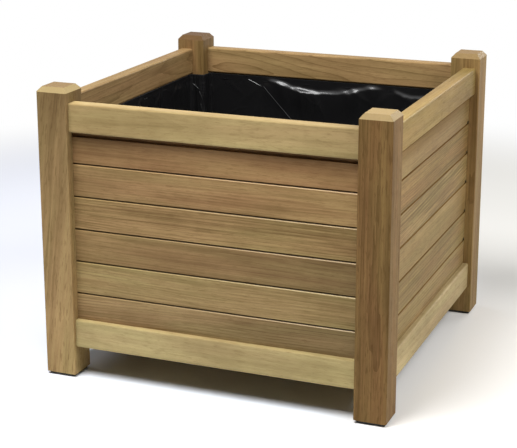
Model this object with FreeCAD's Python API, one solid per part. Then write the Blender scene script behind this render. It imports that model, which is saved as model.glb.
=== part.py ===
"""Square wooden planter: four posts, four framed board panels, a slatted base and a film liner.

Millimetres, +Z up. The origin is on the floor at the centre of the plan, and the front faces -Y.
A panel is drawn once, in panel axes: X along the panel, Y inwards from the posts' outer faces and
Z up. It is then turned and moved to its side of the planter. A post is drawn once as well, with
its outer corner on the Z axis, and is turned to its corner.
"""
import FreeCAD, Part
import math
import os

Vector = FreeCAD.Vector

# Overall
planter_width = 500.0
planter_depth = 500.0

# Posts, planed from 50 mm sawn stock
post_length = 410.0
post_side = 45.0
post_arris = 1.8
post_cap_inset = 6.0
post_cap_drop = 7.0

# Rails between the posts, with stub tenons
rail_height = 40.0
rail_thickness = 20.0
rail_setback = 6.0
rail_arris = 2.5
top_rail_drop = 21.0
bottom_rail_lift = 40.0
tenon_length = 20.0
tenon_thickness = 8.0
tenon_shoulder = 6.0
tenon_wall = 2.0
mortise_end_gap = 0.5
glue_gap = 0.1

# Tongued and grooved boards, numbered from the top
board_count = 6
board_thickness = 9.0
board_setback = 14.0
board_fit = 0.1
top_tuck = 3.0
bottom_tuck = 7.0
swell_gap = 1.0
tongue_thickness = 3.0
tongue_length = 4.0
tongue_fit = 0.15
tongue_end_gap = 0.6
quirk_height = 2.0
board_chamfer = 1.5
reveal_height = 7.5
reveal_depth = 5.0
post_groove_depth = 8.0
board_end_gap = 1.0

# Slatted base on two bearers
slat_count = 7
slat_thickness = 15.0
slat_gap = 8.0
slat_side_gap = 1.5
slat_end_gap = 1.0
slat_arris = 1.5
bearer_height = 22.0
bearer_thickness = 20.0
bearer_end_gap = 1.0
bearer_arris = 1.0

# Film liner, stapled to the top boards
liner_thickness = 0.5
liner_top_gap = 1.0
drain_radius = 4.0
drain_edge = 95.0
staple_count = 6
staple_crown = 10.0
staple_wire = 0.8
staple_leg = 6.0
staple_drop = 8.0
staple_edge = 30.0
staple_fit = 0.05

# Foot pads
pad_thickness = 4.0
pad_inset = 3.0
pad_corner = 2.0
pad_screw_sink = 0.6

# Countersunk screws
screw_shank_radius = 1.75
screw_head_radius = 3.6
screw_head_height = 2.2
screw_tip_height = 3.0
screw_tip_radius = 0.4
screw_fit = 0.05
slat_screw_length = 30.0
bearer_screw_length = 32.0
pad_screw_length = 20.0

# How far a cutting tool runs past the face it opens, and the slack in comparing directions
overrun = 1.0
direction_slack = 1e-6

# Flats round each small screw and hole, since there are many
round_sides = 10

# Levels above the floor
post_bottom = pad_thickness
post_top = post_bottom + post_length
top_rail_top = post_top - top_rail_drop
top_rail_bottom = top_rail_top - rail_height
bottom_rail_bottom = post_bottom + bottom_rail_lift
bottom_rail_top = bottom_rail_bottom + rail_height
board_seat = bottom_rail_top - bottom_tuck
board_head = top_rail_bottom + top_tuck
board_pitch = (board_head - board_seat) / board_count
slat_top = bottom_rail_top
slat_bottom = slat_top - slat_thickness
liner_top = top_rail_bottom - liner_top_gap
staple_level = liner_top - staple_drop

# Depths inwards from the posts' outer faces
rail_back = rail_setback + rail_thickness
board_back = board_setback + board_thickness
tenon_front = rail_setback + (rail_thickness - tenon_thickness) / 2
tenon_back = tenon_front + tenon_thickness
tongue_front = (board_thickness - tongue_thickness) / 2
tongue_back = tongue_front + tongue_thickness

# Tenon levels: each one stays clear of its rail's board groove
top_tenon_levels = (board_head + swell_gap + tenon_wall, top_rail_top - tenon_shoulder)
bottom_tenon_levels = (bottom_rail_bottom + tenon_shoulder, board_seat - tenon_wall)

# Clear spans between the posts
clear_width = planter_width - 2 * post_side
clear_depth = planter_depth - 2 * post_side

# Side name, turn about Z in degrees, clear span and distance from the centre to the outer face
sides = (
    ("front", 0, clear_width, planter_depth / 2),
    ("right", 90, clear_depth, planter_width / 2),
    ("rear", 180, clear_width, planter_depth / 2),
    ("left", 270, clear_depth, planter_width / 2),
)

# Sides whose top board has a reveal, a groove along its face that leaves a shadow under the rail
reveal_sides = ("front", "rear")

# Corner name, turn about Z in degrees, and the side of the centre that it is on along X and Y
corners = (
    ("front_left", 0, -1, -1),
    ("front_right", 90, 1, -1),
    ("rear_right", 180, 1, 1),
    ("rear_left", 270, -1, 1),
)


def block(low, high):
    """A box between two opposite corners, each given as (x, y, z)."""
    low, high = Vector(*low), Vector(*high)
    size = high - low
    return Part.makeBox(size.x, size.y, size.z, low)


def eased(blank, radius, direction):
    """The blank with its edges along one direction rounded over."""
    edges = []
    for edge in blank.Edges:
        run = edge.lastVertex().Point - edge.firstVertex().Point
        if run.cross(direction).Length < direction_slack * run.Length:
            edges.append(edge)
    return blank.makeFillet(radius, edges)


def prism(outline, travel):
    """A solid swept from a closed flat outline along a straight travel."""
    return Part.Face(Part.makePolygon(outline + outline[:1])).extrude(travel)


def stacked(rings):
    """A solid with flat faces through rings of as many points each, from one end to the other."""
    walls = []
    for near, far in zip(rings, rings[1:]):
        for side in range(len(near)):
            walls.append([near[side - 1], near[side], far[side], far[side - 1]])
    faces = [Part.Face(Part.makePolygon(ring + ring[:1])) for ring in [rings[0], rings[-1]] + walls]
    return Part.Solid(Part.Shell(faces))


def faceted(sections):
    """A solid about the Z axis through rings given as (radius, level), flat-sided to save facets."""
    turns = [2 * math.pi * side / round_sides for side in range(round_sides)]
    return stacked(
        [
            [Vector(radius * math.cos(turn), radius * math.sin(turn), level) for turn in turns]
            for radius, level in sections
        ]
    )


def joined(pieces):
    """Several touching solids as one."""
    return pieces[0].multiFuse(pieces[1:]).removeSplitter()


def turned(shape, angle, x, y):
    """A copy turned about the Z axis and then moved in plan."""
    copy = shape.copy()
    copy.rotate(Vector(), Vector(0, 0, 1), angle)
    copy.translate(Vector(x, y, 0))
    return copy


def to_side(shape, angle, distance):
    """Moves a shape in panel axes to its side of the planter."""
    turn = math.radians(angle)
    return turned(shape, angle, math.sin(turn) * distance, -math.cos(turn) * distance)


def to_corner(shape, angle, x_side, y_side):
    """Moves a shape drawn at a post's outer corner to its corner of the planter."""
    return turned(shape, angle, x_side * planter_width / 2, y_side * planter_depth / 2)


def tenon_hole_or_pin(levels, length, gap):
    """A stub tenon, or with a gap its mortise, standing inwards from the shoulder plane X = 0."""
    return block(
        (-length, tenon_front - gap, levels[0] - gap),
        (0, tenon_back + gap, levels[1] + gap),
    )


def post_blank():
    """A square post with eased edges and a top chamfered from all four sides."""
    rings = []
    for level, inset in ((post_bottom, 0), (post_top - post_cap_drop, 0), (post_top, post_cap_inset)):
        near = inset
        far = post_side - inset
        rings.append([Vector(x, y, level) for x, y in ((near, near), (far, near), (far, far), (near, far))])
    column = block((0, 0, post_bottom), (post_side, post_side, post_top))
    return eased(column, post_arris, Vector(0, 0, 1)).common(stacked(rings))


def post():
    """A post with two mortises and one board groove in each of its two inner faces."""
    cuts = []
    for levels in (top_tenon_levels, bottom_tenon_levels):
        cuts.append(tenon_hole_or_pin(levels, tenon_length + mortise_end_gap, glue_gap))
    cuts.append(
        block(
            (-post_groove_depth, board_setback - board_fit, board_seat),
            (0, board_back + board_fit, board_head + swell_gap),
        )
    )
    body = post_blank()
    for cut in cuts:
        cut.translate(Vector(post_side, 0, 0))
        # The other inner face has the same cuts, mirrored across the post's diagonal
        other = cut.mirror(Vector(), Vector(1, -1, 0))
        body = body.cut(cut).cut(other)
    return body.cut(pad_screw(screw_fit))


def rail(span, bottom, groove_low, groove_high, tenon_levels):
    """A rail with eased long edges, a groove for the boards and a stub tenon at each end."""
    bar = block((-span / 2, rail_setback, bottom), (span / 2, rail_back, bottom + rail_height))
    bar = eased(bar, rail_arris, Vector(1, 0, 0))
    groove = block(
        (-span / 2 - overrun, board_setback - board_fit, groove_low),
        (span / 2 + overrun, board_back + board_fit, groove_high),
    )
    tenon = tenon_hole_or_pin(tenon_levels, tenon_length, 0)
    left = tenon.translated(Vector(-span / 2, 0, 0))
    right = tenon.translated(Vector(span / 2 + tenon_length, 0, 0))
    return joined([bar.cut(groove), left, right])


def top_rail(span):
    """The top rail, grooved below for the heads of the top board."""
    groove_low = top_rail_bottom - overrun
    return rail(span, top_rail_bottom, groove_low, board_head + swell_gap, top_tenon_levels)


def bottom_rail(span):
    """The bottom rail, grooved above to carry the boards."""
    return rail(span, bottom_rail_bottom, board_seat, bottom_rail_top + overrun, bottom_tenon_levels)


def board(span, number, side):
    """A board: grooved below, and tongued above except the top one, whose head is square.

    The front shoulder stops short of the board above and is chamfered, which leaves a dark quirk
    with a bright edge under it. The back shoulders meet. The head keeps its full thickness in the
    rail's groove, with a reveal across its face under the rail on the sides that have one.
    """
    low = board_head - number * board_pitch
    high = low + board_pitch
    front = board_setback
    tongue_near = front + tongue_front
    tongue_far = front + tongue_back
    groove_near = tongue_near - tongue_fit
    groove_far = tongue_far + tongue_fit
    groove_roof = low + tongue_length + tongue_end_gap
    foot = [
        (front, low),
        (groove_near, low),
        (groove_near, groove_roof),
        (groove_far, groove_roof),
        (groove_far, low),
        (board_back, low),
        (board_back, high),
    ]
    shoulder = high - quirk_height
    tongued_head = [
        (tongue_far, high),
        (tongue_far, high + tongue_length),
        (tongue_near, high + tongue_length),
        (tongue_near, shoulder),
        (front + board_chamfer, shoulder),
        (front, shoulder - board_chamfer),
    ]
    square_head = [(front, high)]
    reveal_back = front + reveal_depth
    reveal_floor = top_rail_bottom - reveal_height
    reveal = [
        (front, top_rail_bottom),
        (reveal_back, top_rail_bottom),
        (reveal_back, reveal_floor),
        (front, reveal_floor),
    ]
    if number > 1:
        head = tongued_head
    else:
        head = square_head + reveal if side in reveal_sides else square_head
    reach = span / 2 + post_groove_depth - board_end_gap
    outline = [Vector(-reach, y, z) for y, z in foot + head]
    return prism(outline, Vector(2 * reach, 0, 0))


def screw(length, gap):
    """A countersunk screw, or with a gap its hole, pointing down with its head's face at Z = 0."""
    head = screw_head_radius + gap
    shank = screw_shank_radius + gap
    rim = [(head, gap)] if gap else []
    return faceted(
        rim
        + [
            (head, 0),
            (shank, -screw_head_height),
            (shank, screw_tip_height - length),
            (screw_tip_radius + gap, -length - gap),
        ]
    )


def slat_places():
    """The centre of each slat along X, evenly spaced between the posts."""
    room = clear_width - 2 * slat_side_gap
    width = (room - (slat_count - 1) * slat_gap) / slat_count
    pitch = width + slat_gap
    first = -(slat_count - 1) * pitch / 2
    return width, [first + number * pitch for number in range(slat_count)]


def gap_places():
    """The middle of each gap between two slats along X."""
    centres = slat_places()[1]
    return [(low + high) / 2 for low, high in zip(centres, centres[1:])]


def slat_screws(gap):
    """One screw at each end of each slat, down into the bearers."""
    row = planter_depth / 2 - rail_back - bearer_thickness / 2
    places = [(x, y) for x in slat_places()[1] for y in (-row, row)]
    return [screw(slat_screw_length, gap).translated(Vector(x, y, slat_top)) for x, y in places]


def bearer_screws(gap):
    """Screws through the bearers into the bottom rails, each one below a gap between slats."""
    inner = planter_depth / 2 - rail_back - bearer_thickness
    level = slat_bottom - bearer_height / 2
    gaps = gap_places()
    screws = []
    for x in gaps[:1] + gaps[2:-2] + gaps[-1:]:
        for side in (-1, 1):
            piece = screw(bearer_screw_length, gap)
            piece.rotate(Vector(), Vector(1, 0, 0), side * 90)
            piece.translate(Vector(x, side * inner, level))
            screws.append(piece)
    return screws


def slat(centre, width):
    """One base slat from front rail to rear rail, with eased edges."""
    reach = planter_depth / 2 - rail_back - slat_end_gap
    bar = block((centre - width / 2, -reach, slat_bottom), (centre + width / 2, reach, slat_top))
    return eased(bar, slat_arris, Vector(0, 1, 0))


def bearer(span):
    """A bearer in panel axes: it is screwed to the inside of a bottom rail."""
    reach = span / 2 - bearer_end_gap
    bar = block(
        (-reach, rail_back, slat_bottom - bearer_height),
        (reach, rail_back + bearer_thickness, slat_bottom),
    )
    return eased(bar, bearer_arris, Vector(1, 0, 0))


def staple_spots(span):
    """The middle of each staple along a panel."""
    room = span - 2 * staple_edge
    return [-room / 2 + number * room / (staple_count - 1) for number in range(staple_count)]


def staple(middle):
    """A staple in panel axes: its crown on the film and its legs through it into the top board."""
    crown_far = board_back + liner_thickness + staple_wire
    crown = block(
        (middle - staple_crown / 2, crown_far - staple_wire, staple_level - staple_wire),
        (middle + staple_crown / 2, crown_far, staple_level),
    )
    return joined([crown] + staple_legs(middle, 0))


def staple_legs(middle, gap):
    """The two legs of a staple, or with a gap their holes, in panel axes."""
    root = board_back + liner_thickness
    legs = []
    for low in (middle - staple_crown / 2, middle + staple_crown / 2 - staple_wire):
        legs.append(
            block(
                (low - gap, root - staple_leg, staple_level - staple_wire - gap),
                (low + staple_wire + gap, root, staple_level + gap),
            )
        )
    return legs


def notched_plan(wall_inset, post_inset, level):
    """The plan inside the panels, notched round the four posts, at a level."""
    wall_x = planter_width / 2 - wall_inset
    wall_y = planter_depth / 2 - wall_inset
    post_x = planter_width / 2 - post_inset
    post_y = planter_depth / 2 - post_inset
    quarter = [(post_x, -wall_y), (post_x, -post_y), (wall_x, -post_y)]
    mirrored_y = [(x, -y) for x, y in reversed(quarter)]
    right = quarter + mirrored_y
    left = [(-x, y) for x, y in reversed(right)]
    return [Vector(x, y, level) for x, y in right + left]


def liner():
    """An open film box on the slats, wrapped round the posts, with drain holes over slat gaps."""
    outer = prism(notched_plan(board_back, post_side, slat_top), Vector(0, 0, liner_top - slat_top))
    floor = slat_top + liner_thickness
    inner_plan = notched_plan(board_back + liner_thickness, post_side + liner_thickness, floor)
    film = outer.cut(prism(inner_plan, Vector(0, 0, liner_top - floor + overrun)))
    row = planter_depth / 2 - drain_edge
    holes = []
    for x in gap_places()[1::3]:
        for y in (-row, 0, row):
            punch = faceted([(drain_radius, slat_top - overrun), (drain_radius, floor + overrun)])
            holes.append(punch.translated(Vector(x, y, 0)))
    return film.cut(holes)


def foot_pad():
    """A square pad under a post, drawn at the post's outer corner."""
    far = post_side - pad_inset
    pad = eased(block((pad_inset, pad_inset, 0), (far, far, pad_thickness)), pad_corner, Vector(0, 0, 1))
    head = screw_head_radius + screw_fit
    sink = faceted([(head, -overrun), (head, pad_screw_sink)])
    return pad.cut([sink.translated(Vector(post_side / 2, post_side / 2, 0)), pad_screw(screw_fit)])


def pad_screw(gap):
    """The screw that holds a foot pad, pointing up, drawn at the post's outer corner."""
    piece = screw(pad_screw_length, gap)
    piece.rotate(Vector(), Vector(1, 0, 0), 180)
    return piece.translated(Vector(post_side / 2, post_side / 2, pad_screw_sink))


def frame_nodes():
    """Posts, rails and foot pads."""
    nodes = {}
    for name, angle, x_side, y_side in corners:
        nodes["post_" + name] = to_corner(post(), angle, x_side, y_side)
        nodes["foot_pad_" + name] = to_corner(foot_pad(), angle, x_side, y_side)
    for name, angle, span, distance in sides:
        nodes["top_rail_" + name] = to_side(top_rail(span), angle, distance)
        nodes["bottom_rail_" + name] = to_side(bottom_rail(span), angle, distance)
    return nodes


def board_nodes():
    """Six boards on each side, the top ones drilled for the liner's staples."""
    nodes = {}
    for name, angle, span, distance in sides:
        for number in range(1, board_count + 1):
            piece = board(span, number, name)
            if number == 1:
                holes = [leg for middle in staple_spots(span) for leg in staple_legs(middle, staple_fit)]
                piece = piece.cut(holes)
            nodes[f"board_{name}_{number}"] = to_side(piece, angle, distance)
    return nodes


def base_nodes():
    """Bearers and slats with their screw holes."""
    nodes = {}
    holes = slat_screws(screw_fit) + bearer_screws(screw_fit)
    for name, angle, span, distance in sides[::2]:
        nodes["bearer_" + name] = to_side(bearer(span), angle, distance).cut(holes)
    width, centres = slat_places()
    for number, centre in enumerate(centres, 1):
        nodes[f"slat_{number}"] = slat(centre, width).cut(slat_screws(screw_fit))
    return nodes


def fitting_nodes():
    """The liner and the groups of like fasteners."""
    staples = []
    leg_holes = []
    for name, angle, span, distance in sides:
        for middle in staple_spots(span):
            staples.append(to_side(staple(middle), angle, distance))
            leg_holes += [to_side(leg, angle, distance) for leg in staple_legs(middle, staple_fit)]
    pad_screws = [to_corner(pad_screw(0), *place) for _, *place in corners]
    return {
        "liner": liner().cut(leg_holes),
        "liner_staples": Part.makeCompound(staples),
        "slat_screws": Part.makeCompound(slat_screws(0)),
        "bearer_screws": Part.makeCompound(bearer_screws(0)),
        "foot_pad_screws": Part.makeCompound(pad_screws),
    }


def planter():
    """Every node of the planter by name."""
    nodes = {**frame_nodes(), **board_nodes(), **base_nodes(), **fitting_nodes()}
    for name in ("bottom_rail_front", "bottom_rail_rear"):
        nodes[name] = nodes[name].cut(bearer_screws(screw_fit))
    return nodes


def main():
    """Builds the planter and writes one file per node."""
    os.makedirs("parts", exist_ok=True)
    nodes = planter()
    for name, shape in nodes.items():
        if not shape.isValid():
            raise ValueError(name + " is not a valid solid")
        shape.exportStep(f"parts/{name}.step")
    bounds = Part.makeCompound(list(nodes.values())).BoundBox
    print(f"{len(nodes)} nodes, {sum(len(shape.Solids) for shape in nodes.values())} solids")
    print(f"overall {bounds.XLength:.1f} x {bounds.YLength:.1f} x {bounds.ZLength:.1f} mm")
    print(f"board pitch {board_pitch:.2f} mm, slat width {slat_places()[0]:.2f} mm")


main()
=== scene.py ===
# %% [markdown]
# # A square wooden planter
#
# The planter is four chamfered posts, four framed panels of tongued and grooved boards, a slatted
# floor and a black film liner. Its timber was shaped before this lesson starts: each piece arrives
# as a mesh at its real size. What is left is what the eye reads first, which is grain and colour,
# wrinkled film, steel and rubber, and a light that shows them.

# %% Load the planter
import math

import bmesh
import bpy
import numpy as np
from mathutils import Euler, Matrix, Vector


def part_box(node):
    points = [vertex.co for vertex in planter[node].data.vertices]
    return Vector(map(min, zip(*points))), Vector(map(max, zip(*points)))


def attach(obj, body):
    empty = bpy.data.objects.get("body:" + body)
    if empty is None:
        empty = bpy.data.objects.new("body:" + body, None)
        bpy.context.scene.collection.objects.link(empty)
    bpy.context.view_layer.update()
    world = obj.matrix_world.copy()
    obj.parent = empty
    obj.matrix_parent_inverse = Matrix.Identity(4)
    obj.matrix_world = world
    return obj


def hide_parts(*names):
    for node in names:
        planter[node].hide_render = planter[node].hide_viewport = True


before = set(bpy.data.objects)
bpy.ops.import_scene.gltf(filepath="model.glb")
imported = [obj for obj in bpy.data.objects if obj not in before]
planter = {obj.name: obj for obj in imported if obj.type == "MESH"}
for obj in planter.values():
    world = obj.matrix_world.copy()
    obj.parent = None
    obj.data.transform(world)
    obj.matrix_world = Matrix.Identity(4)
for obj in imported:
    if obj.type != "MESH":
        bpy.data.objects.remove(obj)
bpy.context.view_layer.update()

# %% [markdown]
# ## Camera
#
# A long lens keeps the uprights nearly parallel, and a small shift places the planter in the
# picture without tilting the camera further down.

# %% Camera
lens_mm = 100.94
picture_shift = -0.0696
eye = (0.7359, -1.9183, 0.7995)
gaze_degrees = (74.608, 0.0, 21.69)

camera = bpy.data.objects.new("camera", bpy.data.cameras.new("camera"))
camera.data.lens = lens_mm
camera.data.shift_y = picture_shift
camera.location = eye
camera.rotation_euler = [math.radians(angle) for angle in gaze_degrees]
bpy.context.scene.collection.objects.link(camera)
bpy.context.scene.camera = camera
bpy.context.scene.view_settings.view_transform = "Standard"
print("camera", round(Vector(eye).length, 2), "m from the planter's foot")

# %% [markdown]
# ## Shader maths as Python
#
# A material is a small sum over a surface. Adding its nodes one by one hides that sum, so one class
# wraps a socket that carries a number: each operator adds the Math node that works it out. Every
# other node comes from one method, which takes the node's settings first and its sockets after.

# %% Numbers
class Number:
    """A number that varies over a surface."""

    def __init__(self, recipe, socket):
        self.recipe = recipe
        self.socket = socket

    def maths(self, operation, *values):
        """The number that a new Math node makes of some values."""
        return self.recipe.node("ShaderNodeMath", {"operation": operation}, dict(enumerate(values)))

    def __add__(self, other):
        return self.maths("ADD", self, other)

    def __sub__(self, other):
        return self.maths("SUBTRACT", self, other)

    def __mul__(self, other):
        return self.maths("MULTIPLY", self, other)

    def __truediv__(self, other):
        return self.maths("DIVIDE", self, other)

    def __pow__(self, other):
        return self.maths("POWER", self, other)

    def __rsub__(self, other):
        return self.maths("SUBTRACT", other, self)

    def __rtruediv__(self, other):
        return self.maths("DIVIDE", other, self)

    def __abs__(self):
        return self.maths("ABSOLUTE", self)

    __radd__ = __add__
    __rmul__ = __mul__

    def fraction(self):
        """How far the number is past its last whole number."""
        return self.maths("FRACT", self)

    def at_least(self, other):
        """The larger of two numbers."""
        return self.maths("MAXIMUM", self, other)

    def fade(self, start, end):
        """0 before start, 1 after end and a smooth step between them."""
        settings = {"interpolation_type": "SMOOTHSTEP"}
        sockets = {"Value": self, "From Min": start, "From Max": end}
        return self.recipe.node("ShaderNodeMapRange", settings, sockets)


print("numbers ready")

# %% Recipes
class Recipe:
    """A node tree, and the one method that adds nodes to it."""

    def __init__(self, tree):
        self.tree = tree
        self.tree.nodes.clear()

    def node(self, kind, settings=None, sockets=None, output=0):
        """Adds a node with its settings, then its sockets' values or links, and gives one output."""
        node = self.tree.nodes.new(kind)
        for name, value in (settings or {}).items():
            setattr(node, name, value)
        for name, value in (sockets or {}).items():
            source = value.socket if isinstance(value, Number) else value
            if isinstance(source, bpy.types.NodeSocket):
                self.tree.links.new(source, node.inputs[name])
            else:
                node.inputs[name].default_value = source
        if not node.outputs:
            return node
        result = node.outputs[output]
        return Number(self, result) if result.type == "VALUE" else result

    def places(self):
        """Where each point of a piece lies, in metres."""
        return self.node("ShaderNodeTexCoord", output="Object")

    def axis(self, place, name):
        """One coordinate of a place."""
        return self.node("ShaderNodeSeparateXYZ", {}, {"Vector": place}, name)

    def along(self, place, arrow):
        """How far a place lies along an arrow, times the arrow's length."""
        return self.node("ShaderNodeVectorMath", {"operation": "DOT_PRODUCT"}, {0: place, 1: arrow}, "Value")

    def distance(self, place):
        """How far a place lies from the origin."""
        return self.node("ShaderNodeVectorMath", {"operation": "LENGTH"}, {0: place}, "Value")

    def mix(self, factor, first, second):
        """A colour between two others."""
        return self.node("ShaderNodeMix", {"data_type": "RGBA"}, {0: factor, 6: first, 7: second}, 2)

    def stretched(self, place, stretch):
        """Coordinates multiplied along each axis."""
        return self.node("ShaderNodeVectorMath", {"operation": "MULTIPLY"}, {0: place, 1: stretch})

    def noise(self, place, stretch, detail=2.0, roughness=0.5):
        """Smooth noise about 0.5, with so many cycles per metre along each axis."""
        sockets = {"Vector": self.stretched(place, stretch), "Scale": 1.0}
        sockets.update({"Detail": detail, "Roughness": roughness})
        return self.node("ShaderNodeTexNoise", {}, sockets)

    def surface(self, shader):
        """Ends a material in one shader."""
        self.node("ShaderNodeOutputMaterial", {}, {"Surface": shader})


print("recipes ready")

# %% New finishes
def finish(name):
    """A new material and its recipe."""
    material = bpy.data.materials.new(name)
    material.use_nodes = True
    return material, Recipe(material.node_tree)


def opaque(colour):
    """A colour with its alpha, as a colour socket takes it."""
    return (*colour, 1.0)


print("finishes ready")

# %% [markdown]
# ## Floor and light
#
# The planter stands on white paper. Paper in a room is never one white: it takes a little of the
# colour of what is around it. Coloured lamps could do that, but they would colour the wood too. So
# the paper itself has four tints that fade into each other, and they are painted light and shade:
# one in front of the planter, one on its right and a cool one on its left are painted tints of the
# light that falls there, and a grey one behind it is a painted shadow of the planter. Near the
# planter the paper takes the shadow, and further off it blends into plain white for the camera
# alone, so that the backdrop adds no light to the wood.

# %% Floor tints
floor_front = (0.88, 0.93, 1.0)
floor_right = (0.955, 0.94, 0.91)
floor_cool = (0.85, 0.87, 0.945)
# A painted shadow: the grey of the paper behind the planter and to its right.
floor_shadow_grey = (0.75, 0.74, 0.71)
right_fade = (0.12, 0.27)
left_fade = (-0.15, -0.5)
left_slant = 0.3
rear_fade = (0.44, 0.66)
rear_slant = 0.8


def floor_tint(recipe, place):
    """The paper's colour, with painted tints of light and a painted shadow behind the planter. The edges of
    the left and rear tints slant across the floor.
    """
    rightward, rearward = recipe.axis(place, "X"), recipe.axis(place, "Y")
    left = (rightward + rearward * left_slant).fade(*left_fade)
    behind = (rearward + rightward * rear_slant).fade(*rear_fade)
    tint = recipe.mix(rightward.fade(*right_fade), opaque(floor_front), opaque(floor_right))
    tint = recipe.mix(left, tint, opaque(floor_cool))
    return recipe.mix(behind * (1 - left), tint, opaque(floor_shadow_grey))


print("4 tints of paper")

# %% Floor
floor_reach = 30.0
white_from = 1.05
white_by = 1.6
white = opaque((1.0, 1.0, 1.0))


def seen_rays(recipe):
    """1 for rays that show the backdrop: those from the camera, or on by way of metal or glass."""
    rays = [recipe.node("ShaderNodeLightPath", output=name) for name in (
        "Is Camera Ray", "Is Glossy Ray", "Is Transmission Ray")]
    return rays[0].at_least(rays[1]).at_least(rays[2])


bpy.ops.mesh.primitive_plane_add(size=floor_reach)
floor = bpy.context.object
floor.name = "floor"
floor_paper, recipe = finish("white_sheet")
place = recipe.places()
paper = recipe.node("ShaderNodeBsdfDiffuse", {}, {"Color": floor_tint(recipe, place)})
glow = recipe.node("ShaderNodeEmission", {}, {"Color": white, "Strength": 1.0})
far = recipe.distance(place).fade(white_from, white_by) * seen_rays(recipe)
lit = recipe.node("ShaderNodeMixShader", {}, {0: far, 1: paper, 2: glow})
below = recipe.node("ShaderNodeNewGeometry", output="Backfacing")
clear = recipe.node("ShaderNodeBsdfTransparent")
recipe.surface(recipe.node("ShaderNodeMixShader", {}, {0: below, 1: lit, 2: clear}))
floor.data.materials.append(floor_paper)
print("floor", floor_reach, "m across")

# %% [markdown]
# Four soft square lamps light the planter. The main one hangs over its front, a little to the left,
# so the tops are about twice as bright as the front, and the chamfer under each board joint catches
# the light. One stands high on the right and a lower one at the rear right, and a weak one evens out
# the left. A picture of a sky could light the planter too, but lamps can be weighed one by one
# against the tone of each side. The room itself is white to look at, and gives hardly any light.

# %% World and lamps
room_light = 0.03
lamp_aim = Vector((0.0, 0.0, 0.2))

world = bpy.data.worlds.new("room")
bpy.context.scene.world = world
world.use_nodes = True
recipe = Recipe(world.node_tree)
walls = recipe.node("ShaderNodeBackground", {}, {"Color": white, "Strength": 1.0})
haze = recipe.node("ShaderNodeBackground", {}, {"Color": white, "Strength": room_light})
both = recipe.node("ShaderNodeMixShader", {}, {0: seen_rays(recipe), 1: haze, 2: walls})
recipe.node("ShaderNodeOutputWorld", {}, {"Surface": both})


def lamp(name, place, size, watts):
    """A square soft lamp that faces the middle of the planter."""
    light = bpy.data.lights.new(name, "AREA")
    light.size = size
    light.energy = watts
    holder = bpy.data.objects.new(name, light)
    holder.location = place
    holder.rotation_euler = (lamp_aim - Vector(place)).to_track_quat("-Z", "Y").to_euler()
    bpy.context.scene.collection.objects.link(holder)


lamp("main_lamp", (-0.3, -0.8, 1.85), 0.9, 44.0)
lamp("right_lamp", (1.5, -0.2, 1.6), 1.1, 27.2)
lamp("rear_lamp", (0.8, 2.2, 1.05), 1.1, 19.0)
lamp("left_fill", (-1.8, 0.6, 1.5), 1.0, 8.0)
print("lamps", [light.name for light in bpy.data.lights])

# %% [markdown]
# ## Wood
#
# Planed wood shows three things at once: growth rings, which run as long lines where the plane cuts
# them at a shallow angle, fibres, which streak the surface finely, and a slow drift of colour along
# the plank. A picture of wood could be wrapped round each piece, but it would break at every arris.
# All three belong to the tree and not to the surface, so the pattern is solid: a Mapping node lays
# each piece of timber in its own tree, with the tree's heart some centimetres away. The ends of a
# post then show arcs where its sides show lines, with no seam between them.

# %% Wood colours
straw = np.array((0.42, 0.33, 0.155))
bark = np.array((0.13, 0.07, 0.024))
rosy = np.array((1.06, 0.96, 1.0))


def timber_colour(depth, flush):
    """From straw at depth 0 to bark at 1, made rosier by flush, or greener where it is below 0."""
    return straw ** (1 - depth) * bark ** depth * rosy ** flush


print("middle wood", timber_colour(0.4, 0).round(3))

# %% Grain
ring_width = 0.0036
ring_wander = 0.012


def grain(recipe, tree, figure, lines, flecks):
    """How pale the wood is, and how deep its pores are, from a place in the tree.

    Distance from the heart over the ring width, plus slow noise, counts rings. The growth of one
    ring is the fraction of that number: pale at first and darkest at its end, with lines where the
    end of a ring is drawn alone. Streaks, bands and clouds are noise stretched along the tree, ever
    more broadly, and mottle is where the grain waves in and out of the surface.
    """
    radius = recipe.distance(recipe.stretched(tree, (0.0, 1.0, 1.0)))
    slow = recipe.noise(tree, (2.4, 14.0, 14.0), 1.0) - 0.5
    quick = recipe.noise(tree, (8.0, 80.0, 80.0), 2.0) - 0.5
    growth = ((radius + slow * ring_wander * 2 + quick * ring_wander * 0.2) / ring_width).fraction()
    streaks = recipe.noise(tree, (6.0, 360.0, 360.0), 3.0, 0.65) - 0.5
    bands = recipe.noise(tree, (3.0, 110.0, 110.0), 2.0, 0.6) - 0.5
    cloud = recipe.noise(tree, (4.5, 20.0, 20.0), 2.0) - 0.5
    mottle = recipe.noise(tree, (42.0, 70.0, 70.0), 1.0) - 0.5
    shade = 0.5 - (growth ** 3 - 0.25) * (figure * 0.30) + streaks * (figure * 1.5)
    shade = shade + bands * (0.4 + figure * 0.6) + cloud * 1.4 + mottle * 0.3 - growth ** 9 * lines
    short = recipe.noise(tree, (58.0, 480.0, 480.0), 1.0).fade(0.56, 0.70)
    pores = recipe.noise(tree, (160.0, 1800.0, 1800.0), 1.0).fade(0.58, 0.72)
    return shade, pores * 0.3 + short * flecks, streaks, growth


print("rings", ring_width * 1000, "mm wide")

# %% Wood finish
pale_share = np.array((1.34, 1.34, 1.36))
dark_share = np.array((0.62, 0.57, 0.50))
olive_share = np.array((0.97, 1.018, 0.975))
rosy_share = np.array((1.035, 0.972, 1.005))
pore_share = np.array((0.50, 0.42, 0.34))
hue_width = 0.18
plain_hue_width = 0.3
grain_relief = 0.0003


def drifted(recipe, tone, place, middle, arrow):
    """A tone that gets darker along an arrow, by as much a metre as the arrow is long."""
    level = 1 + middle.dot(arrow) - recipe.along(place, arrow)
    return recipe.node("ShaderNodeVectorMath", {"operation": "SCALE"}, {0: tone, "Scale": level})


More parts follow.
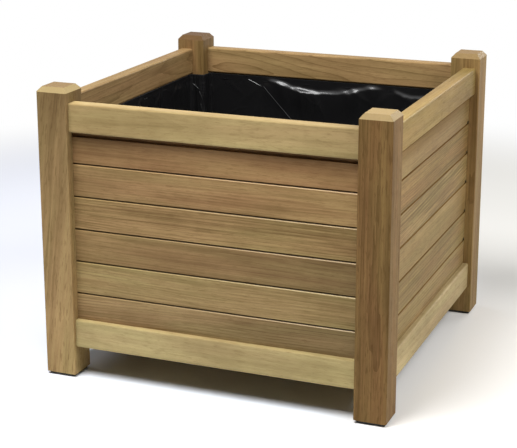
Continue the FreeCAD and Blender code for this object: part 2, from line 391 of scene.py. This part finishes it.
def wood(name, colour, tree_place, figure, lines, flecks, drift, edges):
    """Oiled planed wood: the grain as colour, its drift along the piece, its edges and its relief.

    The grain runs from dark to pale, and slow noise makes some of it olive and some rosy. edges
    gives the colour with the edges' own tones, wear, painted highlights and painted shade, and the
    sockets that differ there.
    """
    material, recipe = finish(name)
    place = recipe.places()
    mapping = {"Vector": place, "Location": tree_place[0], "Rotation": tree_place[1]}
    tree = recipe.node("ShaderNodeMapping", {"vector_type": "TEXTURE"}, mapping)
    shade, pores, streaks, growth = grain(recipe, tree, figure, lines, flecks)
    spread = hue_width + plain_hue_width * max(1.0 - figure, 0.0)
    hue = recipe.noise(tree, (5.0, 42.0, 42.0), 2.0).fade(0.5 - spread, 0.5 + spread)
    ends = [recipe.mix(hue, opaque(colour * share * olive_share), opaque(colour * share * rosy_share))
            for share in (dark_share, pale_share)]
    tone = recipe.mix(shade, *ends)
    tone = recipe.mix(pores, tone, opaque(colour * pore_share))
    if drift[1].length:
        tone = drifted(recipe, tone, place, *drift)
    tone, edge_sockets = edges(recipe, tone, colour, place)
    relief = streaks * 0.8 - pores * 0.6 - growth * (figure * 0.25)
    bump = recipe.node("ShaderNodeBump", {}, {"Strength": 0.6, "Distance": grain_relief, "Height": relief})
    sockets = {"Base Color": tone, "Roughness": 0.5 - streaks * 0.3 + pores * 0.2, "Normal": bump}
    sockets.update({"IOR": 1.47, "Specular IOR Level": 0.1, "Coat Roughness": 0.28, **edge_sockets})
    recipe.surface(recipe.node("ShaderNodeBsdfPrincipled", {}, sockets))
    return material


print("wood finish ready")

# %% [markdown]
# ## Ends and edges
#
# The end of a post is cut fibres, which drink more or less oil than its sides, so the top and its
# bevels have tones of their own. The boards' edges differ from side to side, and much of what they
# show is painted light and shade. On the front and the rear the chamfer of each joint is painted
# paler than the board, a painted highlight that grows along the side, and only the bottom of the
# joint is painted dark as shade. On the right and the left the joints, chamfers and all, are painted
# as brown lines of shade, with a spot of painted shade at each end by the post and a painted line of
# shade under the rail. On every side a painted shadow of the top rail falls on the top board. These
# marks could be painted by hand, but there are twenty joints. So they are masks made from which way
# a point faces and how deep behind the face it lies, and one mask serves a whole side.

# %% Post ends
end_grain_share = 0.75
bevel_faces_up = (0.45, 0.6)
top_faces_up = (0.8, 0.95)


def facing(recipe, axis):
    """How squarely a surface faces along an axis: 1 along it, 0 across it and -1 against it."""
    return recipe.along(recipe.node("ShaderNodeNewGeometry", output="True Normal"), axis)


def plain_edges(recipe, tone, colour, place):
    """No wear."""
    return tone, {}


def post_edges(top_depth, bevel_depth):
    """The edges of a post whose top and bevels are oiled to these depths of colour."""
    def edges(recipe, tone, colour, place):
        upward = facing(recipe, (0.0, 0.0, 1.0))
        bevel, top = upward.fade(*bevel_faces_up), upward.fade(*top_faces_up)
        tone = recipe.mix(bevel * end_grain_share, tone, opaque(timber_colour(bevel_depth, 0.0)))
        return recipe.mix(top * end_grain_share, tone, opaque(timber_colour(top_depth, 0.2))), {}
    return edges


print("end grain hides", end_grain_share, "of the side's colour")

# %% Board edges
# Painted highlight: how much paler the front and rear chamfers are painted, how that grows along the side,
# and the weight of a coat of real shine on them.
highlight_share = np.array((1.80, 1.76, 1.50))
highlight_middle = 0.65
highlight_slope = 1.3
highlight_coat = 0.4
# Painted shade: the tone of the joints, how little of it lies inside the real recess under the front and
# rear rails, the painted shadow under each top rail, and the dark spots at the joints' ends.
joint_shade_share = np.array((0.40, 0.29, 0.17))
joint_shade = 0.9
recess_shade = 0.05
recess_height = 0.0085
shade_reach = 0.022
rail_shadow_weight = 0.3
edge_blur = 0.002
hole_shade = np.array((0.014, 0.009, 0.004))
hole_shade_weight = 0.95
hole_length = 0.010
hole_height = (0.045, 0.065)

board_face = -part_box("board_front_2")[0].y
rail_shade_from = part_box("top_rail_front")[0].z - recess_height
post_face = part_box("post_rear_right")[0].x
first_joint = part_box("board_front_1")[0].z
joint_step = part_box("board_front_2")[0].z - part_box("board_front_3")[0].z


def board_edges(outward, wear_and_sheen, shade_from, shade_full, shade_share, rail_shade_line):
    """The edges of boards that face outward: chamfers painted pale as a highlight, or joints painted
    dark as shade.

    Painted shade darkens a joint between two depths behind the face, and a painted shadow darkens
    the wood just under the rail. The painted highlight grows along the side, together with a coat
    of real shine. Where painted shade fills the whole joint, its two ends get nearly black spots of
    painted shade.
    """
    def edges(recipe, tone, colour, place):
        along = recipe.along(place, (abs(outward[1]), abs(outward[0]), 0.0))
        height = recipe.axis(place, "Z")
        if wear_and_sheen:
            # A chamfer faces partly outward and partly upward.
            slope, upward = facing(recipe, outward), facing(recipe, (0.0, 0.0, 1.0))
            chamfer = slope.fade(0.5, 0.65) * (1 - slope.fade(0.76, 0.9)) * upward.fade(0.5, 0.65)
            # Painted highlight: the chamfer is painted paler, more so along the side.
            painted_highlight = chamfer * (along * highlight_slope + highlight_middle) * wear_and_sheen
            tone = recipe.mix(painted_highlight, tone, opaque(colour * highlight_share))
        # Painted shade in each joint, by its depth behind the face; it is weak inside the real recess under
        # the front and rear rails.
        under = height.fade(rail_shade_from, rail_shade_from + edge_blur)
        behind = (board_face - recipe.along(place, outward)).fade(shade_from, shade_full)
        painted_shade = behind * (joint_shade - under * (joint_shade - recess_shade))
        # A painted shadow of the top rail on the top board, and on the right and left a painted line of
        # shade just under the rail.
        painted_shade = painted_shade.at_least(height.fade(rail_shade_from - shade_reach, rail_shade_from + edge_blur) * rail_shadow_weight)
        if rail_shade_line:
            painted_shade = painted_shade.at_least(under * rail_shade_line)
        tone = recipe.mix(painted_shade, tone, opaque(colour * joint_shade_share * shade_share))
        if wear_and_sheen:
            return tone, {"Coat Weight": painted_highlight * highlight_coat}
        # A nearly black spot of painted shade at each end of a joint, next to the post.
        end = abs(along).fade(post_face - hole_length, post_face - hole_length * 0.8)
        off = ((height - first_joint) / joint_step + 0.5).fraction() - 0.5
        hole = end * (1 - abs(off).fade(*hole_height))
        return recipe.mix(hole * hole_shade_weight, tone, opaque(hole_shade)), {"Roughness": painted_shade * 0.5 + 0.5}
    return edges


print("boards' faces", round(board_face * 1000), "mm from the middle")

# %% [markdown]
# ## Each piece in its own tree
#
# Boards from one bundle differ: some are pale straw and plain, some rosy brown and striped. So each
# piece has four numbers: its depth of colour, its flush, its figure, and how clearly the end of each
# ring is drawn. They were chosen for the sides that show, and are drawn at random for the rest, and
# so is each piece's place in the tree. Some pieces also darken along their length, which is their
# drift a metre, and some are a little bluer or more golden. The grain runs along the piece, with a
# lean of a degree or so, because no plank is sawn quite parallel to the trunk. The heart lies off to
# one side of a board, so that its rings show as stripes, and behind a rail, where they show as a
# flame.

# %% Each piece's tone
# Depth, flush, figure and lines of each piece that shows.
timbers = {
    "post_front_left": (0.34, 0.1, 0.6, 0.0),
    "post_front_right": (0.74, 0.1, 1.1, 0.1),
    "post_rear_right": (0.42, 0.2, 1.0, 0.1),
    "post_rear_left": (0.62, 0.1, 0.8, 0.1),
    "top_rail_front": (0.10, 0.1, 0.3, 0.0),
    "bottom_rail_front": (0.04, -0.2, 0.3, 0.0),
    "top_rail_right": (0.31, 0.0, 0.4, 0.0),
    "bottom_rail_right": (0.00, 0.0, 0.3, 0.0),
    "top_rail_rear": (0.34, 0.5, 0.5, 0.5),
    "top_rail_left": (0.32, 0.6, 0.6, 0.3),
    "board_front_1": (0.38, 1.3, 0.5, 0.0),
    "board_front_2": (0.34, 0.9, 0.8, 0.0),
    "board_front_3": (0.40, 0.0, 1.5, 0.1),
    "board_front_4": (0.47, -0.1, 0.8, 0.1),
    "board_front_5": (0.28, -0.3, 0.9, 0.0),
    "board_front_6": (0.41, -0.2, 0.9, 0.3),
    "board_right_1": (0.44, -0.1, 0.6, 0.0),
    "board_right_2": (0.49, 0.1, 1.4, 0.1),
    "board_right_3": (0.38, -0.2, 1.5, 0.2),
    "board_right_4": (0.31, 0.0, 0.5, 0.0),
    "board_right_5": (0.45, -0.3, 1.1, 0.0),
    "board_right_6": (0.36, -0.2, 1.1, 0.0),
}
other_timber = ((0.25, -0.2, 0.6, 0.0), (0.5, 0.9, 1.4, 0.4))
# Drift is partly the pieces' own colour and partly painted light: the front left post is painted paler
# toward its foot, as light thrown up from the floor, and the lower front boards darker toward the front
# right post, as painted shade.
drifts = {"board_front_1": -0.4, "board_front_2": -0.5, "board_front_4": 1.0, "board_front_5": 0.3,
          "board_front_6": 1.2, "top_rail_front": 0.4, "bottom_rail_front": 0.2, "post_front_left": 1.4,
          "board_right_1": 0.9, "board_right_2": 0.4, "board_right_4": -0.5, "board_right_5": 0.5,
          "board_right_6": 0.4, "top_rail_right": 0.9}
# The extra blue of the fourth and sixth front boards is painted light, standing in for the cool light that
# the paper in front throws up onto the low boards.
blues = {"top_rail_right": 0.82, "bottom_rail_right": 1.08, "board_right_2": 0.92, "board_right_4": 0.96,
         "board_front_4": 1.06, "board_front_6": 1.10, "post_rear_right": 0.92, "post_front_right": 0.95}
# The depths of colour of each post's top and of its bevels.
post_ends = {"post_front_left": (0.85, 0.1), "post_front_right": (0.23, 0.2),
             "post_rear_right": (0.62, 0.45), "post_rear_left": (1.35, 1.25)}
post_flecks = 0.45
other_flecks = 0.25
print(len(timbers), "pieces have tones of their own")

# %% Each piece's edges
side_outward = {"front": (0.0, -1.0, 0.0), "right": (1.0, 0.0, 0.0), "rear": (0.0, 1.0, 0.0),
                "left": (-1.0, 0.0, 0.0)}
# Painted highlight on the chamfers with their wear, the two depths between which a joint is painted dark as
# shade, the tone of that painted shade, and the painted line of shade under the rail.
bright_joints = (0.9, 0.0007, 0.0016, 0.45, 0.0)
dark_joints = (0.0, 0.0001, 0.0005, 1.35, 0.75)
side_joints = {"front": bright_joints, "rear": bright_joints, "right": dark_joints, "left": dark_joints}


def side_of(name):
    """The side of the planter that a rail, board or bearer is on."""
    return name.split("_")[2 if "rail" in name else 1]


def edges_of(name):
    """A post's ends, a board's joints, or no wear."""
    if name.startswith("post"):
        return post_edges(*post_ends[name])
    if name.startswith("board"):
        return board_edges(side_outward[side_of(name)], *side_joints[side_of(name)])
    return plain_edges


print("edges chosen for", len(side_joints), "sides")

# %% Lay the timber
grain_turns = {"x": (0.0, 0.0, 0.0), "y": (0.0, 0.0, 90.0), "z": (0.0, -90.0, 0.0)}
side_grain = {"front": "x", "right": "y", "rear": "x", "left": "y"}
leans = {"post_front_left": 7.0, "top_rail_rear": 2.5}
tree_spread = np.array((1.2, 1.2, 9.0))
board_heart = ((0.06, 0.02), (0.12, 0.06))
other_heart = ((-0.02, 0.05), (0.02, 0.1))
draw = np.random.default_rng(11)


def grain_way(name):
    """The axis that a piece's grain follows: posts upright, the rest along the side they are on."""
    if name.startswith("post"):
        return "z"
    return "y" if name.startswith("slat") else side_grain[side_of(name)]


def lay(name):
    """Gives one piece of timber its finish."""
    low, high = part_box(name)
    middle, way = (low + high) / 2, grain_way(name)
    lean, sway, slide = draw.uniform(-tree_spread, tree_spread)
    across, behind = draw.uniform(*(board_heart if name.startswith("board") else other_heart))
    depth, flush, figure, lines = timbers.get(name, draw.uniform(*other_timber))
    turn = [math.radians(angle) for angle in grain_turns[way]]
    turn[1] += math.radians(leans.get(name, lean))
    turn[2] += math.radians(sway)
    heart = middle + Euler(turn).to_matrix() @ Vector((slide, behind, across))
    colour = timber_colour(depth, flush) * (1.0, 1.0, blues.get(name, 1.0))
    flecks = post_flecks if name.startswith("post_front") else other_flecks
    drift = middle, Vector([drifts.get(name, 0.0) * (axis == way) for axis in "xyz"])
    return wood(name + "_wood", colour, (heart, turn), figure, lines, flecks, drift, edges_of(name))


timber = [name for name in sorted(planter) if not name.endswith("_screws")
          and name.split("_")[0] in ("post", "top", "bottom", "board", "slat", "bearer")]
for name in timber:
    planted = lay(name)
    for slot in planter[name].material_slots:
        slot.material = planted
print(len(timber), "pieces of timber laid")

# %% [markdown]
# ## Film liner
#
# The liner is a bag of thin black film: it hangs from staples under the top rails, wraps round the
# posts and lies on the slats. Film neither stretches nor hangs straight, so its spare length sags in
# swags from the edge and breaks into creases. All of these are one number per place, the relief,
# which is how far the film stands off the wood behind it. Every vertex is one entry of an array with
# a row per height and a column per place along the wall, so the whole sheet is made by a few sums.

# %% Liner outline
film_thickness = 0.0004
film_gap = 0.0001
post_gap = 0.0016
outline_count = 540

liner_low, liner_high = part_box("liner")


def ease(share):
    """0 below 0, 1 above 1 and a smooth step between them."""
    share = np.clip(share, 0.0, 1.0)
    return share * share * (3 - 2 * share)


def liner_outline(count):
    """Even places along a square with a post in each corner, eased there by averaging neighbours."""
    wall, notch = liner_high.x - film_gap, post_face - post_gap
    side = np.array([(-notch, wall), (notch, wall), (notch, notch)])
    quarter = np.array([(0, 1), (-1, 0)])
    corners = np.vstack([side @ np.linalg.matrix_power(quarter, turn).T for turn in (0, 1, 2, 3, 4)])[:13]
    ends = np.append(0.0, np.cumsum(np.hypot(*np.diff(corners, axis=0).T)))
    along = np.arange(count) / count * ends[-1]
    places = np.stack([np.interp(along, ends, corners[:, axis]) for axis in (0, 1)], axis=1)
    places = sum(np.roll(places, step, axis=0) for step in (-2, -1, 0, 1, 2)) / 5
    ahead = np.roll(places, -1, axis=0) - np.roll(places, 1, axis=0)
    inward = np.stack([ahead[:, 1], -ahead[:, 0]], axis=1)
    return along, places, inward / np.hypot(*inward.T)[:, None]


outline_along, outline_places, outline_inward = liner_outline(outline_count)
side_length = outline_along[1] * outline_count / 4
wall_length = 2 * (post_face - post_gap)
print("outline", round(4 * side_length, 3), "m round,", outline_count, "places")

# %% [markdown]
# A cloth simulation could hang the film. But its folds are only millimetres deep, so the cloth
# would need a very fine mesh, and no setting puts a fold in its place. Formulas can be aimed: each
# fold takes how far along the outline a place lies and how far below the edge. There are three
# kinds, which are swags, creases, and the ripples and crumples where the film turns round a post.

# %% Swags
film_draw = np.random.default_rng(4)
fold_rise = 0.007
fold_fall = 0.05
rear_swag = (0.095, 0.205, 0.022, 0.0068)
swag_lengths = (0.05, 0.15)
swag_sinks = (0.010, 0.024)
swag_depths = (0.0006, 0.0018)
swag_inset = 0.01
last_swag_start = 0.06
last_swag_end = 0.005


def swag(along, below, start, length, sink, depth):
    """A fold that sags between two points of the edge. Its crest runs up to sink below the edge.

    The crest's height is a sine over the fold's length that leans to its start, with a small waver.
    Just above the crest the film comes out as a power of the share of the rise, and below it the
    film falls back on a smooth step. Two sines along the fold, the patch, make it deeper in places.
    """
    share = np.clip((along - start) / length, 0, 1)
    belly = np.sin(np.pi * share) * (1.15 - 0.35 * share)
    waver = np.sin(along * 330 + 3 * np.sin(along * 75))
    crest = np.maximum(sink * belly + 0.0007 * waver, fold_rise)
    above = np.clip((below - crest + fold_rise) / fold_rise, 0, 1) ** 2.2
    fall = 1 - ease((below - crest) / fold_fall)
    patch = 0.80 + 0.30 * np.sin(along * 115 + 2 * np.sin(along * 47)) - 0.25 * share
    return depth * patch * belly ** 0.6 * (1 + 0.12 * waver) * np.where(below < crest, above, fall)


def liner_swags():
    """Start, length, sink and depth of each swag: a long one at the rear and short ones all round."""
    swags = [rear_swag]
    for side in (0, 1, 2, 3):
        start = max(side * side_length + swag_inset, rear_swag[0] + rear_swag[1])
        wall_end = side * side_length + wall_length
        while start < wall_end - last_swag_start:
            length = min(film_draw.uniform(*swag_lengths), wall_end - last_swag_end - start)
            swags.append((start, length, film_draw.uniform(*swag_sinks), film_draw.uniform(*swag_depths)))
            start += length * film_draw.uniform(0.8, 1.2)
    return swags


print("the rear swag is", rear_swag[1], "m long")

# %% Creases
# Where each starts and ends along the left wall, and how far below the edge it ends.
slack_places = ((0.23, 0.19, 0.030), (0.30, 0.26, 0.036), (0.36, 0.335, 0.026))
slack_from = 0.003
slack_width = 0.0045
slack_height = 0.0016


def crease(across, down, start, end, width, height):
    """A straight ridge from one place to another: a tent across it, and half a sine along it."""
    run = np.subtract(end, start)
    share = ((across - start[0]) * run[0] + (down - start[1]) * run[1]) / (run @ run)
    off = np.abs((across - start[0]) * run[1] - (down - start[1]) * run[0]) / np.hypot(*run)
    return height * np.clip(1 - off / width, 0, 1) * np.sin(np.pi * np.clip(share, 0, 1))


def slack_creases():
    """Start, end, width and height of three creases that slant down the left wall."""
    left = 3 * side_length
    return [((left + start, slack_from), (left + end, below), slack_width, slack_height)
            for start, end, below in slack_places]


print(len(slack_places), "slack creases on the left wall")

# %% Staples and strewn creases
staple_drop = liner_high.z - sum(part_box("liner_staples"), Vector()).z / 2
staple_places = [side * side_length + wall_length / 2 + place for side in (0, 1, 2, 3)
                 for place in (-0.175, -0.105, -0.035, 0.035, 0.105, 0.175)]
fan_reaches = (0.02, 0.07)
fan_slopes = (0.3, 1.6)
fan_width = 0.006
fan_heights = (0.0002, 0.0007)
loose_run = 0.07
loose_widths = (0.006, 0.02)
loose_heights = (0.0002, 0.0010)


def staple_creases():
    """Start, end, width and height of two creases that fan down from each staple."""
    creases = []
    for place in staple_places:
        for way in (-1, 1):
            reach = film_draw.uniform(*fan_reaches)
            end = (place + way * reach, staple_drop + reach * film_draw.uniform(*fan_slopes))
            creases.append(((place, staple_drop), end, fan_width, film_draw.uniform(*fan_heights)))
    return creases


def loose_creases(count, span, depth):
    """Start, end, width and height of creases strewn over a field of that span and depth."""
    starts = film_draw.uniform((0.0, 0.0), (span, depth), (count, 2))
    runs = film_draw.uniform(-loose_run, loose_run, (count, 2))
    widths = film_draw.uniform(*loose_widths, count)
    heights = film_draw.uniform(*loose_heights, count)
    return list(zip(starts, starts + runs, widths, heights))


print(len(staple_places), "staples hold the film", round(staple_drop * 1000, 1), "mm below its edge")

# %% Liner relief
wall_creases = 90
wall_crease_depth = 0.25
ripple_pitch = 0.011
ripple_height = 0.0005
ripple_reach = 0.03
ripple_depth = 0.11
crumple_height = 0.0007
crumple_reach = 0.005
crumple_depth = 0.14
staple_dent = 0.006


def liner_relief(along, below):
    """How far the film stands off the wood behind it.

    The tallest swag and all creases are added. Near the posts come ripples, a sine along the wall,
    and on the posts crumples, the size of a sine down the wall, and both fade with depth. Round each
    staple the relief is pressed flat by a bell curve.
    """
    relief = np.max([swag(along, below, *one) for one in liner_swags()], axis=0)
    creases = slack_creases() + staple_creases()
    creases = creases + loose_creases(wall_creases, 4 * side_length, wall_crease_depth)
    for one in creases:
        relief = relief + crease(along, below, *one)
    middle = (wall_length + side_length) / 2
    to_post = side_length / 2 - np.abs((along - middle) % side_length - side_length / 2)
    ripple = 0.5 + 0.5 * np.sin(along * 2 * np.pi / ripple_pitch + below * 25)
    near, upper = ease((ripple_reach - to_post) / ripple_reach), 1 - ease(below / ripple_depth)
    relief = relief + ripple_height * ripple * near * upper
    crumple = np.abs(np.sin(below * 420 + 2 * np.sin(below * 145 + along * 40)))
    near, upper = ease((crumple_reach - to_post) / crumple_reach), 1 - ease(below / crumple_depth)
    relief = relief + crumple_height * crumple * near * upper
    for place in staple_places:
        away = (along - place) ** 2 + (below - staple_drop) ** 2
        relief = relief * (1 - np.exp(-away / staple_dent ** 2))
    return relief


print("ripples every", ripple_pitch * 1000, "mm beside the posts")

# %% Liner sheet
wall_rows = 60
bend_rows = 6
floor_rows = 16
bend_radius = 0.018
edge_waver = 0.0004
floor_creases = 60


def liner_sheet():
    """The film as rows of places: wall, bend and floor, then one place at the middle.

    Each row is the outline times a share of it, plus the relief along the inward direction. More
    than half of the rows of the wall lie in the top sixth of it, where its folds are.
    """
    level = liner_low.z + film_gap
    top = liner_high.z - edge_waver * (0.5 + 0.5 * np.sin(outline_along * 40) * np.sin(outline_along * 23))
    drops = np.interp(np.linspace(0, 1, wall_rows), (0, 0.55, 1), (0, 0.17, 1))[:, None]
    bend = np.linspace(0, np.pi / 2, bend_rows + 1)[1:, None]
    spokes = 1 - np.arange(1, floor_rows + 1)[:, None] / (floor_rows + 0.7)
    shrink = 1 - bend_radius / liner_high.x
    shares = np.vstack([np.ones_like(drops), shrink + (1 - shrink) * np.cos(bend), shrink * spokes])
    heights = np.vstack([top - drops * (top - level - bend_radius),
                         level + bend_radius * (1 - np.sin(bend)) + 0 * top, level + 0 * spokes * top])
    calm = np.vstack([1 - 0.7 * ease((drops - 0.6) / 0.4), 0.3 + 0 * bend, 0.3 + 0 * spokes])
    relief = calm * liner_relief(outline_along[None], top - heights)
    flat = outline_places * shares[..., None] + relief[..., None] * outline_inward
    field = flat + 0.2
    lift = sum(crease(field[..., 0], field[..., 1], *one) for one in loose_creases(floor_creases, 0.4, 0.4))
    heights = heights + lift * ease((shrink - shares) / 0.1)
    places = np.concatenate([flat, heights[..., None]], axis=2).reshape(-1, 3)
    return np.vstack([places, (0.0, 0.0, level)])


film_places = liner_sheet()
print("film", len(film_places), "places")

# %% Liner mesh
film_rows = wall_rows + bend_rows + floor_rows


def liner_faces(rows, count):
    """Quads between neighbouring rows, and a fan of triangles round the middle place."""
    first = (np.arange(rows - 1)[:, None] * count + np.arange(count)).ravel()
    ahead = (np.arange(rows - 1)[:, None] * count + (np.arange(count) + 1) % count).ravel()
    quads = np.stack([first, first + count, ahead + count, ahead], axis=1).tolist()
    last = (rows - 1) * count
    fan = [(last + place, rows * count, last + (place + 1) % count) for place in range(count)]
    return quads + fan


film_mesh = bpy.data.meshes.new("liner_film")
film_mesh.from_pydata(film_places.tolist(), [], liner_faces(film_rows, outline_count))
film = bpy.data.objects.new("liner_bag", film_mesh)
bpy.context.scene.collection.objects.link(film)
print("film", len(film_mesh.polygons), "faces")

# %% [markdown]
# The drain holes have to be round however the sheet's rows run, so they are punched: the sheet gets
# its thickness, six pins are taken from it, and the result replaces its mesh. The film is shaded
# smooth except at the rims of the holes and at its edge.

# %% Drain pins
drain_radius = 0.004
drain_spread = 0.155
pin_sides = 24
pin_length = 0.02


def in_scene(name, shape):
    """A new object with the mesh that a bmesh holds."""
    mesh = bpy.data.meshes.new(name)
    shape.to_mesh(mesh)
    shape.free()
    piece = bpy.data.objects.new(name, mesh)
    bpy.context.scene.collection.objects.link(piece)
    return piece


def drain_pins():
    """One object of six upright pins, in the gaps after the second and the fifth slat."""
    pins = bmesh.new()
    gaps = [(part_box(before)[1].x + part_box(after)[0].x) / 2 for before, after in (
        ("slat_2", "slat_3"), ("slat_5", "slat_6"))]
    sizes = {"radius1": drain_radius, "radius2": drain_radius, "depth": pin_length, "segments": pin_sides}
    for x in gaps:
        for y in (-drain_spread, 0.0, drain_spread):
            place = Matrix.Translation((x, y, liner_low.z))
            bmesh.ops.create_cone(pins, cap_ends=True, cap_tris=False, matrix=place, **sizes)
    return in_scene("drain_pins", pins)


print("drain pins", round(drain_radius * 2000, 1), "mm across")

# %% Punch the film
sharp_degrees = 50


def settle(piece):
    """Puts a piece's modifiers into its mesh."""
    mesh = bpy.data.meshes.new_from_object(piece.evaluated_get(bpy.context.evaluated_depsgraph_get()))
    piece.modifiers.clear()
    piece.data = mesh


skin = film.modifiers.new("skin", "SOLIDIFY")
skin.thickness = film_thickness
skin.offset = 1.0
punch = film.modifiers.new("drain_holes", "BOOLEAN")
punch.object = pins = drain_pins()
punch.operation = "DIFFERENCE"
punch.solver = "EXACT"
settle(film)
bpy.data.objects.remove(pins)
for polygon in film.data.polygons:
    polygon.use_smooth = True
film.data.set_sharp_from_angle(angle=math.radians(sharp_degrees))
print("film with holes", len(film.data.polygons), "faces")

# %% [markdown]
# Black film is nearly as dark as the shade below it. What shows is its shine, so the finish is a
# near black with a low roughness, and the light is broken up by creases too fine for the sheet's
# faces. More faces could carry them, but a bump does it as well at that size. It holds straight
# folds between cells, tall narrow ones where the film is gathered round a post, soft waves, the
# gaps between the slats pressed into the floor, and a few sharp lines with places of their own.

# %% Film lines
# Where each starts, by how many degrees it falls, and its length.
film_lines = [((-0.111, 0.2265, 0.338), 46.8, 0.11), ((-0.136, 0.2265, 0.3455), 24.0, 0.03),
              ((-0.223, 0.2035, 0.336), 38.0, 0.016), ((-0.2115, 0.2035, 0.324), 70.0, 0.018),
              ((-0.2095, 0.2035, 0.304), 79.0, 0.026)]
line_width = 0.0011


def thin_folds(recipe, place, stretch, width):
    """Sharp straight ridges between cells, as crumpled film has them, with so many cells per metre."""
    sockets = {"Vector": recipe.stretched(place, stretch), "Scale": 1.0}
    edge = recipe.node("ShaderNodeTexVoronoi", {"feature": "DISTANCE_TO_EDGE"}, sockets)
    return 1 - edge.fade(0.0, width)


def film_line(recipe, place, start, fall, length):
    """A sharp crease on film that faces the front, falling by so many degrees to its right."""
    mapping = {"Vector": place, "Location": start, "Rotation": (0.0, math.radians(fall), 0.0)}
    own = recipe.node("ShaderNodeMapping", {"vector_type": "TEXTURE"}, mapping)
    onward, depth, off = (recipe.axis(own, name) for name in "XYZ")
    span = onward.fade(0.0, length * 0.1) * (1 - onward.fade(length * 0.6, length))
    return (1 - abs(off).fade(0.0, line_width)) * span * (1 - abs(depth).fade(0.015, 0.02))


print(len(film_lines), "sharp lines, 2 on the rear wall and 3 on the rear left post")

# %% Film finish
film_black = (0.0060, 0.0059, 0.0063)
film_relief = 0.0022
fold_cells = (15.0, 15.0, 10.0)
gather_cells = (130.0, 130.0, 15.0)
post_wrap = (0.188, 0.200)
above_slats = (0.001, 0.006)
below_cut = (0.0016, 0.0006)
gap_half = 0.12
slat_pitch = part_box("slat_4")[0].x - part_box("slat_3")[0].x
gap_middle = (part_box("slat_4")[0].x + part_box("slat_3")[1].x) / 2


def film_folds(recipe, place, on_slats):
    """The sharp part of the film's relief. It is weaker on the slats, and finer round the posts."""
    rightward, rearward = abs(recipe.axis(place, "X")), abs(recipe.axis(place, "Y"))
    at_post = rightward.maths("MINIMUM", rightward, rearward).fade(*post_wrap)
    sparse = recipe.noise(place, (9.0,) * 3, 1.0).fade(0.52, 0.66)
    folds = thin_folds(recipe, place, fold_cells, 0.035) * sparse * (0.6 - on_slats * 0.42)
    folds = folds + thin_folds(recipe, place, gather_cells, 0.12) * at_post * 0.7
    for start, fall, length in film_lines:
        folds = folds + film_line(recipe, place, start, fall, length)
    return folds


def film_finish():
    """Near black film, duller at its cut edge."""
    material, recipe = finish("black_film")
    place = recipe.places()
    height = recipe.axis(place, "Z")
    on_slats = 1 - height.fade(*(liner_low.z + rise for rise in above_slats))
    gap = ((recipe.axis(place, "X") - gap_middle) / slat_pitch + 0.5).fraction() - 0.5
    soft = recipe.noise(place, (32.0, 32.0, 20.0), 2.0)
    relief = film_folds(recipe, place, on_slats) * 0.7 + soft * 0.6
    relief = relief - (1 - abs(gap).fade(0.0, gap_half)) * on_slats * 0.5
    bump = recipe.node("ShaderNodeBump", {}, {"Strength": 0.6, "Distance": film_relief, "Height": relief})
    shine = recipe.noise(place, (9.0,) * 3, 2.0) * 0.18 + 0.20
    shine = shine + height.fade(*(liner_high.z - drop for drop in below_cut)) * 0.6
    sockets = {"Base Color": opaque(film_black), "Roughness": shine, "Normal": bump, "IOR": 1.5}
    recipe.surface(recipe.node("ShaderNodeBsdfPrincipled", {}, sockets))
    return material


film.data.materials.clear()
film.data.materials.append(film_finish())
print("film finished, slats every", round(slat_pitch * 1000, 1), "mm under it")

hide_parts("liner")
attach(film, "root")

# %% [markdown]
# ## Steel and rubber
#
# The staples are blackened wire, so that they don't glint against the film. The screws are stainless
# steel, a little brushed, and the pads are black rubber with a fine dusty bloom. All of them are
# small in a picture, so one noise in each finish is enough to keep it from looking like plastic.

# %% Fittings
rubber_dark = (0.018, 0.018, 0.018)
rubber_dusty = (0.045, 0.042, 0.038)
rubber_relief = 0.0002


def metal_finish(name, colour, roughness):
    """Bare metal with fine wear in its roughness."""
    material, recipe = finish(name)
    wear_and_sheen = recipe.noise(recipe.places(), (900.0,) * 3, 2.0) - 0.5
    sockets = {"Base Color": opaque(colour), "Metallic": 1.0, "Roughness": wear_and_sheen * 0.25 + roughness}
    recipe.surface(recipe.node("ShaderNodeBsdfPrincipled", {}, sockets))
    return material


def rubber_finish():
    """Black rubber, greyer and a little raised where the bloom lies."""
    material, recipe = finish("pad_rubber")
    bloom = recipe.noise(recipe.places(), (140.0,) * 3, 3.0)
    tone = recipe.mix(bloom.fade(0.4, 0.75), opaque(rubber_dark), opaque(rubber_dusty))
    bump = recipe.node("ShaderNodeBump", {}, {"Strength": 0.5, "Distance": rubber_relief, "Height": bloom})
    sockets = {"Base Color": tone, "Roughness": bloom * 0.2 + 0.6, "Normal": bump,
               "Specular IOR Level": 0.35}
    recipe.surface(recipe.node("ShaderNodeBsdfPrincipled", {}, sockets))
    return material


fittings = {"liner_staples": metal_finish("black_wire", (0.03, 0.03, 0.032), 0.5)}
steel = metal_finish("stainless_steel", (0.62, 0.61, 0.58), 0.3)
rubber = rubber_finish()
for name in planter:
    if name.endswith("_screws"):
        fittings[name] = steel
    elif name.startswith("foot_pad"):
        fittings[name] = rubber
for name, material in fittings.items():
    for slot in planter[name].material_slots:
        slot.material = material
print(len(fittings), "groups of fittings finished")
